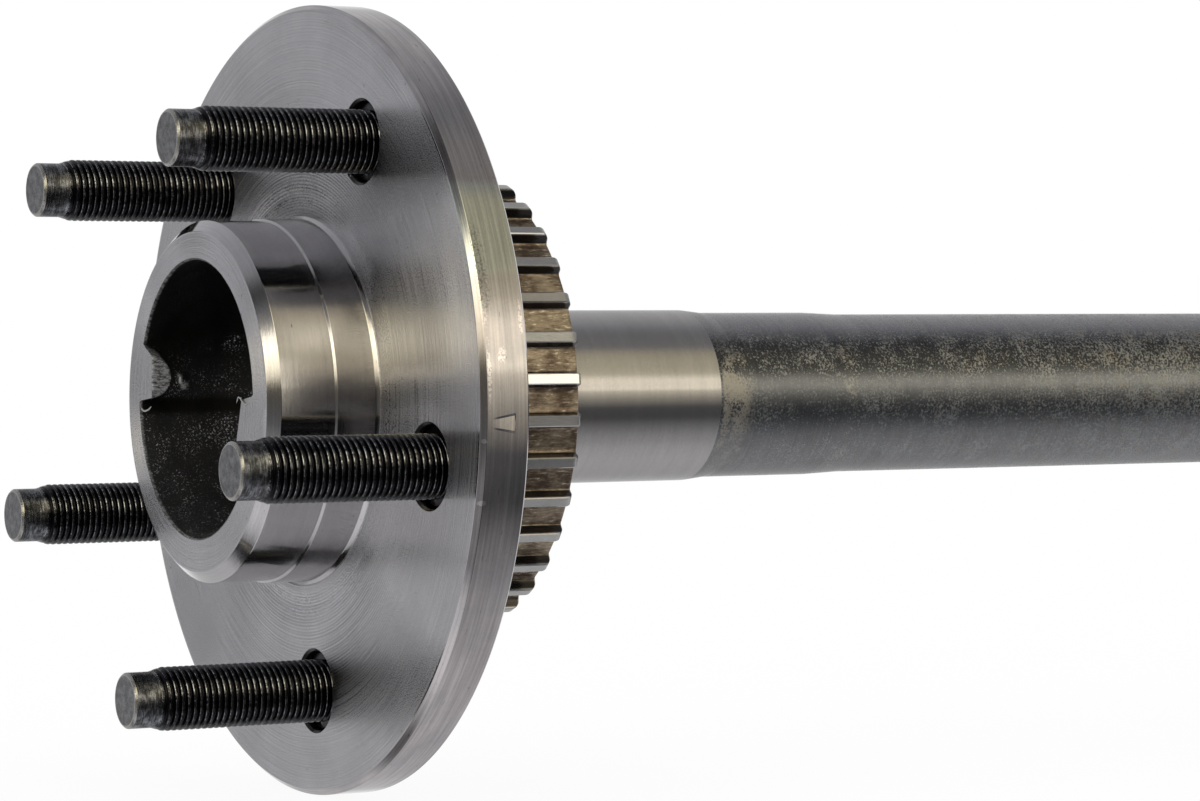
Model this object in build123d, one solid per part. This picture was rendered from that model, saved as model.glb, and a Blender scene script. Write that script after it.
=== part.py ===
import os
from math import cos, radians, sin, tan

from build123d import *

# Rear axle shaft with its wheel flange, wheel studs and toothed speed ring.
# The shaft turns about Y. The origin is the centre of the wheel mounting face,
# the studs and the wheel pilot point to -Y and the splined end lies at +Y.
# All sizes are in millimetres, and every y is measured from the mounting face.

# Wheel flange
flange_diameter = 155.2
flange_thickness = 9.7
flange_front_chamfer = 1.0
flange_rear_chamfer = 0.4

# Wheel pilot, with a slightly larger register for the brake disc at its root
pilot_diameter = 70.5
pilot_length = 22.2
pilot_chamfer = 2.1
register_diameter = 71.3
register_length = 8.6
register_root_chamfer = 0.7
land_width = 1.2
dish_width = 6.0
dish_depth = 0.2

# Forged recess inside the pilot, left rough and a little off centre
recess_diameter = 54.2
recess_depth = 24.0
recess_draft = 4.0
recess_floor_radius = 8.0
recess_shift_x = -0.45
recess_shift_z = 0.5
lug_reach = 6.3
narrow_lug_radius = 4.35
narrow_lug_lower_edge = 0.6
wide_lug_radius = 7.0
wide_lug_angle = -16.5

# Centre holes for the lathe, one in the recess floor and one in the far end
centre_hole_diameter = 8.0
centre_hole_angle = 60.0

# Wheel studs, pressed in from the back of the flange
stud_count = 5
bolt_circle = 114.3
first_stud_angle = -10.7
stud_length = 40.0
stud_thread_diameter = 12.4
stud_lead_length = 2.5
stud_dog_diameter = 10.8
stud_dog_length = 5.1
knurl_diameter = 15.6
knurl_setback = 1.6
press_clearance = 0.02
stud_head_diameter = 21.6
stud_head_thickness = 4.2
stud_head_chamfer = 0.6
stud_hole_mouth = 16.6

# Neck behind the flange, which ends in the shoulder and the seat of the toothed ring
neck_fillet = 5.0
ring_shoulder = 3.0
ring_front = 20.5
ring_width = 18.5
ring_overhang = 0.6
seat_chamfer = 0.8
web_diameter = 60.0
web_length = 7.5
web_fillet = 5.0

# Toothed ring
tooth_count = 35
tooth_angle = -3.95
ring_tip_diameter = 91.2
ring_wall = 8.6
tooth_height = 2.4
tooth_top_width = 2.0
tooth_base_width = 2.75
tooth_end_radius = 1.9
ring_edge_chamfer = 0.5

# Bearing journal and the forged shaft behind it
journal_diameter = 35.36
journal_end = 86.6
journal_taper_length = 5.0
shoulder_diameter = 34.18
shoulder_end = 116.5
shoulder_taper_length = 8.5
shaft_diameter = 33.4

# Splined end with the groove for its C-shaped retaining clip
shaft_end = 728.0
spline_count = 31
spline_major_diameter = 33.2
spline_minor_diameter = 31.1
spline_length = 46.0
spline_runout = 7.0
spline_gap_at_floor = 1.05
spline_flank_angle = 37.5
clip_groove_diameter = 25.4
clip_groove_width = 4.9
end_button_diameter = 30.4
end_button_length = 7.0
end_button_chamfer = 1.2


def turned(points, radii):
    """Revolves a closed outline of (radius, y) points about the Y axis."""
    outline = make_face(FilletPolyline(*points, radius=radii, close=True))
    return revolve(outline, Axis.Y, 360)


def turned_from(corners):
    """Splits (radius, y, corner radius) triples and revolves them."""
    return turned([(r, y) for r, y, _ in corners], [fillet for _, _, fillet in corners])


# Shaft blank, one outline from the pilot nose to the clip groove.
# The corners run down the outside and close along the axis.
flange_r = flange_diameter / 2
pilot_r = pilot_diameter / 2
register_r = register_diameter / 2
register_step = register_r - pilot_r
land_inner_r = register_r + register_root_chamfer
land_outer_r = land_inner_r + land_width
tip_r = ring_tip_diameter / 2
bore_r = tip_r - ring_wall
neck_r = bore_r + ring_shoulder
seat_r = bore_r - press_clearance
seat_end = ring_front + ring_width - ring_overhang
journal_r = journal_diameter / 2
shoulder_r = shoulder_diameter / 2
shaft_r = shaft_diameter / 2
spline_major_r = spline_major_diameter / 2
groove_start = shaft_end - end_button_length - clip_groove_width
spline_start = groove_start - spline_length

blank = turned_from([
    (0, -pilot_length, 0),
    (pilot_r - pilot_chamfer, -pilot_length, 0),
    (pilot_r, pilot_chamfer - pilot_length, 0),
    (pilot_r, -register_length - register_step, 0),
    (register_r, -register_length, 0),
    (register_r, -register_root_chamfer, 0),
    (land_inner_r, 0, 0),
    (land_outer_r, 0, 0),
    (land_outer_r + dish_width / 2, dish_depth, 0),
    (land_outer_r + dish_width, 0, 0),
    (flange_r - flange_front_chamfer, 0, 0),
    (flange_r, flange_front_chamfer, 0),
    (flange_r, flange_thickness - flange_rear_chamfer, 0),
    (flange_r - flange_rear_chamfer, flange_thickness, 0),
    (neck_r, flange_thickness, neck_fillet),
    (neck_r, ring_front, 0),
    (seat_r, ring_front, 0),
    (seat_r, seat_end - seat_chamfer, 0),
    (seat_r - seat_chamfer, seat_end, 0),
    (web_diameter / 2, seat_end, 0),
    (journal_r, seat_end + web_length, web_fillet),
    (journal_r, journal_end, 0),
    (shoulder_r, journal_end + journal_taper_length, 0),
    (shoulder_r, shoulder_end, 0),
    (shaft_r, shoulder_end + shoulder_taper_length, 0),
    (shaft_r, spline_start - (shaft_r - spline_major_r), 0),
    (spline_major_r, spline_start, 0),
    (spline_major_r, groove_start, 0),
    (clip_groove_diameter / 2, groove_start, 0),
    (clip_groove_diameter / 2, groove_start + clip_groove_width, 0),
    (end_button_diameter / 2, groove_start + clip_groove_width, 0),
    (end_button_diameter / 2, shaft_end - end_button_chamfer, 0),
    (end_button_diameter / 2 - end_button_chamfer, shaft_end, 0),
    (0, shaft_end, 0),
])

# Forged recess, a drafted bowl with two stub lugs at its mouth
recess_r = recess_diameter / 2
recess_floor_y = recess_depth - pilot_length
recess_floor_r = recess_r - recess_depth * tan(radians(recess_draft))
recess = turned_from([
    (0, -pilot_length, 0),
    (recess_r, -pilot_length, 0),
    (recess_floor_r, recess_floor_y, recess_floor_radius),
    (0, recess_floor_y, 0),
])
narrow_lug = Pos(
    -recess_r, -pilot_length, narrow_lug_radius - narrow_lug_lower_edge
) * Cylinder(narrow_lug_radius, 2 * lug_reach, rotation=(0, 90, 0))
wide_lug = Rot(0, -wide_lug_angle, 0) * Pos(recess_r, -pilot_length, 0) * Cylinder(
    wide_lug_radius, 2 * lug_reach, rotation=(0, 90, 0)
)
recess = recess - narrow_lug - wide_lug
recess = Pos(recess_shift_x, 0, recess_shift_z) * recess

# Centre holes, drilled cones in the recess floor and in the far end
cone_depth = centre_hole_diameter / 2 / tan(radians(centre_hole_angle / 2))
floor_cone = turned(
    [(0, recess_floor_y), (centre_hole_diameter / 2, recess_floor_y), (0, recess_floor_y + cone_depth)],
    [0, 0, 0],
)
end_cone = turned(
    [(0, shaft_end), (centre_hole_diameter / 2, shaft_end), (0, shaft_end - cone_depth)],
    [0, 0, 0],
)

# Stud holes, bored through the flange with a bevelled mouth on the wheel side
hole_r = knurl_diameter / 2 + press_clearance
mouth_r = stud_hole_mouth / 2
hole = turned_from([
    (0, 0, 0),
    (mouth_r, 0, 0),
    (hole_r, mouth_r - hole_r, 0),
    (hole_r, flange_thickness, 0),
    (0, flange_thickness, 0),
])


def stud_position(index):
    """Centre of one stud on the bolt circle, seen from the wheel side."""
    angle = radians(first_stud_angle + index * 360 / stud_count)
    return Pos(bolt_circle / 2 * cos(angle), 0, bolt_circle / 2 * sin(angle))


stud_holes = [stud_position(index) * hole for index in range(stud_count)]

# Spline gaps, straight flanked and running out of the shaft at their inner end
spline_minor_r = spline_minor_diameter / 2
gap_rise = 2 * (spline_major_r - spline_minor_r)
gap_outer_width = spline_gap_at_floor + 2 * gap_rise * tan(radians(spline_flank_angle))
gap_outline = Plane.XZ * Polyline(
    (spline_minor_r, -spline_gap_at_floor / 2),
    (spline_minor_r + gap_rise, -gap_outer_width / 2),
    (spline_minor_r + gap_rise, gap_outer_width / 2),
    (spline_minor_r, spline_gap_at_floor / 2),
    close=True,
)
gap_prism = Pos(0, spline_start, 0) * extrude(make_face(gap_outline), -spline_length)
runout = turned(
    [
        (spline_minor_r, spline_start + spline_runout),
        (spline_minor_r, groove_start),
        (flange_r, groove_start),
        (flange_r, spline_start),
        (spline_major_r, spline_start),
    ],
    [0, 0, 0, 0, 0],
)
gap = gap_prism & runout
spline_gaps = [Rot(0, index * 360 / spline_count, 0) * gap for index in range(spline_count)]

axle_shaft = blank - recess - floor_cone - end_cone - stud_holes - spline_gaps

# Toothed ring, a toothed bar kept inside the turned outline of the ring.
# Only the tooth ends are eased, by a chamfer at the wheel side and by two flats
# at the rear that follow their rounding, and the gaps keep a square edge.
root_r = tip_r - tooth_height
ring_rear = ring_front + ring_width
end_bend = tooth_end_radius * (1 - cos(radians(45)))
ring_limit = turned_from([
    (bore_r + ring_edge_chamfer, ring_front, 0),
    (tip_r - ring_edge_chamfer, ring_front, 0),
    (tip_r, ring_front + ring_edge_chamfer, 0),
    (tip_r, ring_rear - tooth_end_radius, 0),
    (tip_r - end_bend, ring_rear - end_bend, 0),
    (tip_r - tooth_end_radius, ring_rear, 0),
    (bore_r + ring_edge_chamfer, ring_rear, 0),
    (bore_r, ring_rear - ring_edge_chamfer, 0),
    (bore_r, ring_front + ring_edge_chamfer, 0),
])
flank_slope = (tooth_base_width - tooth_top_width) / 2 / tooth_height
foot_half_width = tooth_top_width / 2 + ring_wall * flank_slope
crown_r = tip_r + ring_edge_chamfer
crown_half_width = tooth_top_width / 2 - ring_edge_chamfer * flank_slope
tooth = make_face(Polyline(
    (bore_r, -foot_half_width),
    (crown_r, -crown_half_width),
    (crown_r, crown_half_width),
    (bore_r, foot_half_width),
    close=True,
))
teeth = [
    Rot(0, 0, tooth_angle + index * 360 / tooth_count) * tooth for index in range(tooth_count)
]
toothed_bar = extrude(Plane.XZ * (Circle(root_r) + teeth), -(ring_width + 2 * ring_edge_chamfer))
tone_ring = Pos(0, ring_front - ring_edge_chamfer, 0) * toothed_bar & ring_limit

# Wheel stud, lying along Y with its head against the back of the flange.
# The thread is a plain cylinder of its outer diameter.
thread_r = stud_thread_diameter / 2
dog_r = stud_dog_diameter / 2
knurl_r = knurl_diameter / 2
head_r = stud_head_diameter / 2
head_rear = flange_thickness + stud_head_thickness
dog_start = stud_dog_length - stud_length
stud = turned_from([
    (0, -stud_length, 0),
    (dog_r, -stud_length, 0),
    (dog_r, dog_start, 0),
    (thread_r, dog_start + stud_lead_length, 0),
    (thread_r, knurl_setback, 0),
    (knurl_r, knurl_setback, 0),
    (knurl_r, flange_thickness, 0),
    (head_r, flange_thickness, 0),
    (head_r, head_rear - stud_head_chamfer, 0),
    (head_r - stud_head_chamfer, head_rear, 0),
    (0, head_rear, 0),
])

os.makedirs("parts", exist_ok=True)
export_step(axle_shaft, "parts/axle_shaft.step")
export_step(tone_ring, "parts/tone_ring.step")
for number in range(stud_count):
    export_step(stud_position(number) * stud, f"parts/wheel_stud_{number + 1}.step")
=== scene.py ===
import math

import bmesh
import bpy
import numpy as np
from mathutils import Matrix


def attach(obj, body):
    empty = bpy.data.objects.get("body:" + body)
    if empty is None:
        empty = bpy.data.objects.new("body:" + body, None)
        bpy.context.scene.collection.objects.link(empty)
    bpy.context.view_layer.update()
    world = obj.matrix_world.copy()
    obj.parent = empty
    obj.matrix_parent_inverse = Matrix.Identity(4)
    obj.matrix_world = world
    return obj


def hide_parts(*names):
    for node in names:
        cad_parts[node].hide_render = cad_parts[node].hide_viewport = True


# Rear axle shaft, dressed over its CAD frame. Shapes are worked out in millimetres
# and put into the meshes in metres. Angles run about the shaft from +X towards +Z.
mm = 0.001

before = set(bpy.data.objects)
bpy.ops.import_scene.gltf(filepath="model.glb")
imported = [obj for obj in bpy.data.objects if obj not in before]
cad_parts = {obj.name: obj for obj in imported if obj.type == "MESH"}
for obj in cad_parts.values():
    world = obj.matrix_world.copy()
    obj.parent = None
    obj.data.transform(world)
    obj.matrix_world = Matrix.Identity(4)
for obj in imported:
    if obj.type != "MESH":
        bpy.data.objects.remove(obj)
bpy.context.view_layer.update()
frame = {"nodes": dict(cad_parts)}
print("frame loaded:", ", ".join(frame["nodes"]))


# Rounds the corners of an outline of (radius, y, rounding): each rounded corner becomes
# an arc between its two tangent points, with a support point just outside both ends.
# A rounding takes up at most 45 % of the lines beside it.
def softOutline(corners, arcSteps=5):
    support = 0.06
    points = [np.array(corners[0][:2], float)]
    for before, corner, after in zip(corners, corners[1:], corners[2:]):
        here = np.array(corner[:2], float)
        if corner[2] == 0:
            points.append(here)
            continue
        back = np.array(before[:2], float) - here
        ahead = np.array(after[:2], float) - here
        backLength, aheadLength = np.linalg.norm(back), np.linalg.norm(ahead)
        back, ahead = back / backLength, ahead / aheadLength
        halfAngle = math.acos(np.clip(back @ ahead, -1, 1)) / 2
        cut = min(corner[2] / math.tan(halfAngle), 0.45 * backLength, 0.45 * aheadLength)
        radius = cut * math.tan(halfAngle)
        middle = (back + ahead) / np.linalg.norm(back + ahead)
        centre = here + middle * radius / math.sin(halfAngle)
        start, end = here + back * cut - centre, here + ahead * cut - centre
        turn = math.pi - 2 * halfAngle
        side = np.sign(start[0] * end[1] - start[1] * end[0])
        angles = side * np.linspace(0, turn, arcSteps + 1)
        spin = np.stack([np.cos(angles), np.sin(angles)], axis=1)
        arc = np.stack([start[0] * spin[:, 0] - start[1] * spin[:, 1],
                        start[0] * spin[:, 1] + start[1] * spin[:, 0]], axis=1) + centre
        gap = min(support, 0.3 * cut + 0.02)
        points.append(here + back * min(cut + gap, 0.49 * backLength))
        points.extend(arc)
        points.append(here + ahead * min(cut + gap, 0.49 * aheadLength))
    points.append(np.array(corners[-1][:2], float))
    return np.array(points)


# Flat points (x, z) about the shaft: (radius cos angle, radius sin angle).
def flatPoints(radius, angles):
    return np.stack([radius * np.cos(angles), radius * np.sin(angles)], axis=-1)


# Sets rows of flat points at their place along the shaft: (x, along, z).
def lifted(flat, along):
    return np.stack([flat[..., 0], np.broadcast_to(along, flat.shape[:2]), flat[..., 1]], axis=2)


# A turned surface: each outline point goes round the Y axis at the given angles.
def turnedSurface(outline, angles):
    return lifted(flatPoints(outline[:, :1], angles), outline[:, 1:])


# Rows between two lines of points, blended straight: first (1 - share) + last share.
def ruledSurface(first, last, shares):
    shares = np.asarray(shares, float)[:, None, None]
    return first[None] * (1 - shares) + last[None] * shares


# Joins grids of points into one closed mesh. A grid is (points, finish): its last column
# links to its first, and finish is the number of its material. The wear-and-light value
# is one for each point, for the finishes that read it: wear, and in places painted light.
def weldedPiece(name, grids, materials, sharpAngle, wearAndLight=None):
    vertices, faces, finishes = [], [], []
    count = 0
    for points, finish in grids:
        rows, columns = points.shape[:2]
        number = count + np.arange(rows * columns).reshape(rows, columns)
        across = np.roll(number, -1, axis=1)
        quads = np.stack([number[:-1], across[:-1], across[1:], number[1:]], axis=-1).reshape(-1, 4)
        vertices.append(points.reshape(-1, 3) * mm)
        faces.append(quads)
        finishes.append(np.full(len(quads), finish))
        count += rows * columns
    mesh = bpy.data.meshes.new(name)
    mesh.from_pydata(np.concatenate(vertices).tolist(), [], np.concatenate(faces).tolist())
    mesh.polygons.foreach_set("material_index", np.concatenate(finishes))
    if wearAndLight is not None:
        layer = mesh.attributes.new("wearAndLight", "FLOAT", "POINT")
        layer.data.foreach_set("value", np.concatenate([values.reshape(-1) for values in wearAndLight]))
    shape = bmesh.new()
    shape.from_mesh(mesh)
    weld = 0.0005 * mm
    bmesh.ops.remove_doubles(shape, verts=shape.verts, dist=weld)
    bmesh.ops.dissolve_degenerate(shape, dist=weld, edges=shape.edges)
    bmesh.ops.recalc_face_normals(shape, faces=shape.faces)
    openEdges = sum(1 for edge in shape.edges if len(edge.link_faces) != 2)
    shape.to_mesh(mesh)
    shape.free()
    mesh.shade_smooth()
    mesh.set_sharp_from_angle(angle=math.radians(sharpAngle))
    for material in materials:
        mesh.materials.append(material)
    piece = bpy.data.objects.new(name, mesh)
    bpy.context.scene.collection.objects.link(piece)
    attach(piece, "root")
    print("piece", name, "with", len(mesh.polygons), "faces,", openEdges, "open edges")
    return piece


# Starts a material and hands back its tree and its one shader.
def newFinish(name, metallic, roughness):
    material = bpy.data.materials.new(name)
    material.use_nodes = True
    tree = material.node_tree
    tree.nodes.clear()
    output = tree.nodes.new("ShaderNodeOutputMaterial")
    shader = tree.nodes.new("ShaderNodeBsdfPrincipled")
    tree.links.new(shader.outputs["BSDF"], output.inputs["Surface"])
    shader.inputs["Metallic"].default_value = metallic
    shader.inputs["Roughness"].default_value = roughness
    return material, tree, shader


# Gives an input its value, from a number, a colour or another node's output.
def feed(tree, socket, value):
    if isinstance(value, bpy.types.NodeSocket):
        tree.links.new(value, socket)
    else:
        socket.default_value = value


# One step of arithmetic on two values.
def calc(tree, operation, first, second=0.0):
    node = tree.nodes.new("ShaderNodeMath")
    node.operation = operation
    feed(tree, node.inputs[0], first)
    feed(tree, node.inputs[1], second)
    return node.outputs[0]


# Multiplies two or more values.
def product(tree, *values):
    result = values[0]
    for value in values[1:]:
        result = calc(tree, "MULTIPLY", result, value)
    return result


# One step of arithmetic on two vectors.
def vectorCalc(tree, operation, first, second):
    node = tree.nodes.new("ShaderNodeVectorMath")
    node.operation = operation
    feed(tree, node.inputs[0], first)
    feed(tree, node.inputs[1], second)
    return node.outputs[0]


# The length of a vector.
def reachOf(tree, vector):
    node = tree.nodes.new("ShaderNodeVectorMath")
    node.operation = "LENGTH"
    feed(tree, node.inputs[0], vector)
    return node.outputs["Value"]


# The vector (x, y, z).
def joined(tree, x, y, z):
    node = tree.nodes.new("ShaderNodeCombineXYZ")
    for socket, value in zip(node.inputs, (x, y, z)):
        feed(tree, socket, value)
    return node.outputs[0]


# Noise between 0 and 1, with scale waves to a unit of the vector.
def grain(tree, vector, scale, detail, roughness):
    node = tree.nodes.new("ShaderNodeTexNoise")
    feed(tree, node.inputs["Vector"], vector)
    node.inputs["Scale"].default_value = scale
    node.inputs["Detail"].default_value = detail
    node.inputs["Roughness"].default_value = roughness
    return node.outputs[0]


# Maps a value from one span to another, clamped, with soft ends where asked.
def spread(tree, value, low, high, toLow=0.0, toHigh=1.0, soft=True):
    node = tree.nodes.new("ShaderNodeMapRange")
    node.interpolation_type = "SMOOTHSTEP" if soft else "LINEAR"
    for socket, number in zip(node.inputs, (value, low, high, toLow, toHigh)):
        feed(tree, socket, number)
    return node.outputs[0]


# 1 inside a span of values and 0 outside: it rises from start to full and falls from fade
# to end.
def between(tree, value, start, full, fade, end):
    return product(tree, spread(tree, value, start, full), spread(tree, value, fade, end, 1.0, 0.0))


# Multiplies a tone by a factor where the mask is 1 and leaves it where the mask is 0.
def toned(tree, tone, mask, factor):
    return product(tree, tone, spread(tree, mask, 0, 1, 1.0, factor))


# Mixes two colours: first (1 - share) + second share.
def blend(tree, share, first, second):
    node = tree.nodes.new("ShaderNodeMix")
    node.data_type = "RGBA"
    feed(tree, node.inputs[0], share)
    feed(tree, node.inputs[6], first)
    feed(tree, node.inputs[7], second)
    return node.outputs[2]


# Bump from a height, over the normal of the relief under it where one is given.
def relief(tree, height, distance, strength=1.0, under=None):
    node = tree.nodes.new("ShaderNodeBump")
    node.inputs["Strength"].default_value = strength
    node.inputs["Distance"].default_value = distance
    feed(tree, node.inputs["Height"], height)
    if under is not None:
        feed(tree, node.inputs["Normal"], under)
    return node.outputs[0]


# Shaft coordinates in millimetres: x, y, z, the distance from the axis, and the
# distance travelled along a turned outline, which is radius on a face and y on a rim.
def shaftPlace(tree):
    place = tree.nodes.new("ShaderNodeTexCoord").outputs["Object"]
    scaled = vectorCalc(tree, "MULTIPLY", place, (1000.0, 1000.0, 1000.0))
    split = tree.nodes.new("ShaderNodeSeparateXYZ")
    feed(tree, split.inputs[0], scaled)
    x, y, z = split.outputs
    radius = calc(tree, "SQRT", calc(tree, "ADD", product(tree, x, x), product(tree, z, z)))
    return {"all": scaled, "x": x, "y": y, "z": z, "radius": radius,
            "travel": calc(tree, "ADD", radius, y)}


# The grooves of a turned surface run round the axis, so its shine spreads across them:
# the tangent is the normal crossed with the direction round the axis.
def acrossGrooves(tree, shader, place):
    roundAxis = joined(tree, product(tree, place["z"], -1.0), 0.0, place["x"])
    normal = tree.nodes.new("ShaderNodeNewGeometry").outputs["Normal"]
    across = vectorCalc(tree, "CROSS_PRODUCT", normal, roundAxis)
    feed(tree, shader.inputs["Tangent"], vectorCalc(tree, "NORMALIZE", across, (0.0, 0.0, 0.0)))


# Starts a material of the axle and hands back its shaft coordinates too. A shine above 0
# is drawn across the grooves.
def shaftFinish(name, metallic, roughness, shine=0.0):
    material, tree, shader = newFinish(name, metallic, roughness)
    place = shaftPlace(tree)
    if shine > 0:
        shader.inputs["Anisotropic"].default_value = shine
        acrossGrooves(tree, shader, place)
    return material, tree, shader, place


# Grooves that run round the axis: noise stretched so that it varies quickly with the
# travel and only slowly with the angle.
def grooveNoise(tree, place, pitch, roundness, seed=0.0):
    away = calc(tree, "MAXIMUM", place["radius"], 0.5)
    vector = joined(tree,
                    calc(tree, "ADD", calc(tree, "DIVIDE", place["travel"], pitch), seed),
                    product(tree, calc(tree, "DIVIDE", place["x"], away), roundness),
                    product(tree, calc(tree, "DIVIDE", place["z"], away), roundness))
    return grain(tree, vector, 1.0, 2.0, 0.6)


# The attribute of the mesh that marks wear and, in places, painted light.
def wearAndLightOf(tree):
    node = tree.nodes.new("ShaderNodeAttribute")
    node.attribute_name = "wearAndLight"
    return node.outputs["Fac"]


# Scales a colour by a grey value that varies over the surface.
def shaded(tree, colour, tone):
    return vectorCalc(tree, "MULTIPLY", colour, joined(tree, tone, tone, tone))


# A spot of wear: 1 at its centre and 0 at its reach, measured with each axis scaled by
# the spot's own shape, with an edge that noise tears a little.
def spot(tree, place, centre, shape, hard=0.6):
    torn = 0.25
    apart = vectorCalc(tree, "DIVIDE", vectorCalc(tree, "SUBTRACT", place["all"], centre), shape)
    ragged = grain(tree, place["all"], 1.3, 3.0, 0.6)
    ragged = spread(tree, ragged, 0.3, 0.7, -torn, torn, soft=False)
    return spread(tree, calc(tree, "ADD", reachOf(tree, apart), ragged), hard, 1.0, 1.0, 0.0)


faceLook = {
    "colour": (0.535, 0.524, 0.542),
    "smooth": 0.14,          # roughness of the polished and the dull grains
    "coarse": 0.40,
    "feedPitch": 0.62,       # mm between the lathe's feed marks
    "feedDepth": 0.016 * mm,
    "feedShade": 0.32,
    "scratchDepth": 0.004 * mm,
    "paintedSide": (30.0, 34.0),                # x at which the side with painted shade and painted light begins
    "paintedReach": (54.0, 74.0, 1.0, 0.0),     # radius over which that painted shade and light fade
    "paintedShadePatch": (5.0, 10.0, 20.0, 32.0),       # heights of a patch of painted shade
    "paintedShadeTone": 0.62,
    "rubbedAndLit": (-20.0, -10.0, -2.0, 3.0),        # and of a patch of painted light
    "paintedLightTone": 1.45,
}


# Faced steel of the flange and nose, with concentric feed marks, stains and a few pits, and on one side a
# patch of painted shade and one of painted light.
def facedSteel():
    look = faceLook
    material, tree, shader, place = shaftFinish("faced_steel", 1.0, look["smooth"], 1.0)
    stain = grain(tree, place["all"], 0.045, 4.0, 0.6)
    fine = grooveNoise(tree, place, 0.4, 2.0)
    wave = calc(tree, "SINE", product(tree, place["travel"], 2 * math.pi / look["feedPitch"]))
    wave = spread(tree, wave, -0.2, 1.0, -0.35, 1.0)
    patchy = spread(tree, grain(tree, place["all"], 0.05, 2.0, 0.5), 0.35, 0.6, 0.35, 1.0)
    aloft = calc(tree, "DIVIDE", calc(tree, "ABSOLUTE", place["z"]), place["radius"])
    marked = product(tree, spread(tree, place["radius"], 47.0, 64.0, 1.0, 0.18),
                     spread(tree, aloft, 0.45, 0.75, 0.25, 1.0),
                     spread(tree, place["radius"], 35.0, 40.0, 0.1, 1.0))
    feedMarks = product(tree, wave, product(tree, marked, patchy))
    pits = spread(tree, grain(tree, place["all"], 0.85, 2.0, 0.5), 0.70, 0.75, 1.0, 0.5)
    tone = calc(tree, "ADD", spread(tree, stain, 0.3, 0.75, 0.88, 1.06),
                spread(tree, fine, 0.2, 0.8, -0.07, 0.07, soft=False))
    tone = calc(tree, "ADD", tone, product(tree, feedMarks, look["feedShade"]))
    tone = product(tree, tone, pits)      # then a patch of painted shade and one of painted light on one side
    ragged = calc(tree, "ADD", place["z"], spread(tree, stain, 0.3, 0.7, -2.0, 2.0, soft=False))
    beside = product(tree, spread(tree, place["x"], *look["paintedSide"]),
                     spread(tree, place["radius"], *look["paintedReach"]))
    # Painted shade darkens one patch and painted light brightens the other.
    paintedShade = product(tree, beside, between(tree, ragged, *look["paintedShadePatch"]))
    rubbedAndLit = product(tree, beside, between(tree, ragged, *look["rubbedAndLit"]))
    tone = toned(tree, toned(tree, tone, paintedShade, look["paintedShadeTone"]), rubbedAndLit, look["paintedLightTone"])
    feed(tree, shader.inputs["Base Color"], shaded(tree, look["colour"], tone))
    groove = grooveNoise(tree, place, 0.22, 1.5, 3.0)
    dull = calc(tree, "ADD", product(tree, grain(tree, place["all"], 4.5, 2.0, 0.6), 0.75),
                product(tree, groove, 0.25))
    feed(tree, shader.inputs["Roughness"],
         spread(tree, dull, 0.40, 0.56, look["smooth"], look["coarse"]))
    under = relief(tree, groove, look["scratchDepth"])
    feed(tree, shader.inputs["Normal"], relief(tree, feedMarks, look["feedDepth"], 1.0, under))
    return material


barrelLook = {
    "pilot": (0.51, 0.497, 0.512),
    "violet": (0.462, 0.449, 0.465),
    "pinkish": (0.528, 0.490, 0.499),
    "green": (0.445, 0.470, 0.450),
    "litGreenShare": 0.8,
    "litGreenTone": 1.28,
    "litGreenBand": (23.0, 27.0, 40.5, 43.0),      # its heights on the rim: a lighter greenish band of painted light
    "pitTone": 0.55,
    "pitBand": (17.0, 20.0, 30.0, 38.0),
    "pitReach": (1.5, 4.5, 1.0, 0.0),           # y over which the pits of the rim fade
    "onRim": (70.0, 71.0),                      # radius at which the rim's wear begins
    "onRimOnly": (77.3, 77.5),                  # the same, without the chamfers
    "lineTone": 0.17,
    "roughness": 0.12,
    "brushDepth": 0.0025 * mm,
    "strokeDepth": 0.01 * mm,
    "glintDingTone": 1.7,
    "glintBruiseTone": 1.5,
    # dinged and bruised spots: wear, lightened partly as painted glints
    "glintDings": [((77.2, 0.6, -5.2), (9.0, 0.5, 0.6)), ((76.5, 0.9, -16.4), (9.0, 0.8, 0.7))],
    "glintBruises": [((77.0, 4.3, 10.2), (9.0, 1.3, 2.2)), ((77.4, 1.6, 7.0), (9.0, 0.6, 8.0)),
                ((74.9, 1.5, 19.0), (12.0, 0.8, 5.0)), ((75.5, 8.6, 17.0), (12.0, 0.6, 5.0))],
}

# The wedge-shaped dent in the rim: its ends along y, its height, its half width where y
# is 0, how much that grows with y, and the slope of its floor.
wedgeDent = {"front": 2.4, "rear": 6.8, "height": -2.0, "half": 0.5, "widening": 0.18, "slope": -0.065}


# The dent's depth: its slope times the height above its middle, inside the wedge.
def dentDepth(tree, place):
    front, rear, half = wedgeDent["front"], wedgeDent["rear"], wedgeDent["half"]
    aside = calc(tree, "SUBTRACT", place["z"], wedgeDent["height"])
    wedge = calc(tree, "SUBTRACT", calc(tree, "ABSOLUTE", aside),
                 product(tree, place["y"], wedgeDent["widening"]))
    wedge = product(tree, spread(tree, wedge, half - 0.3, half + 0.15, 1.0, 0.0),
                    spread(tree, place["x"], *barrelLook["onRim"]),
                    spread(tree, place["y"], front - 0.6, front + 1.8),
                    spread(tree, place["y"], rear - 0.2, rear, 1.0, 0.0))
    return product(tree, wedge, product(tree, aside, wedgeDent["slope"]))
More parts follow.
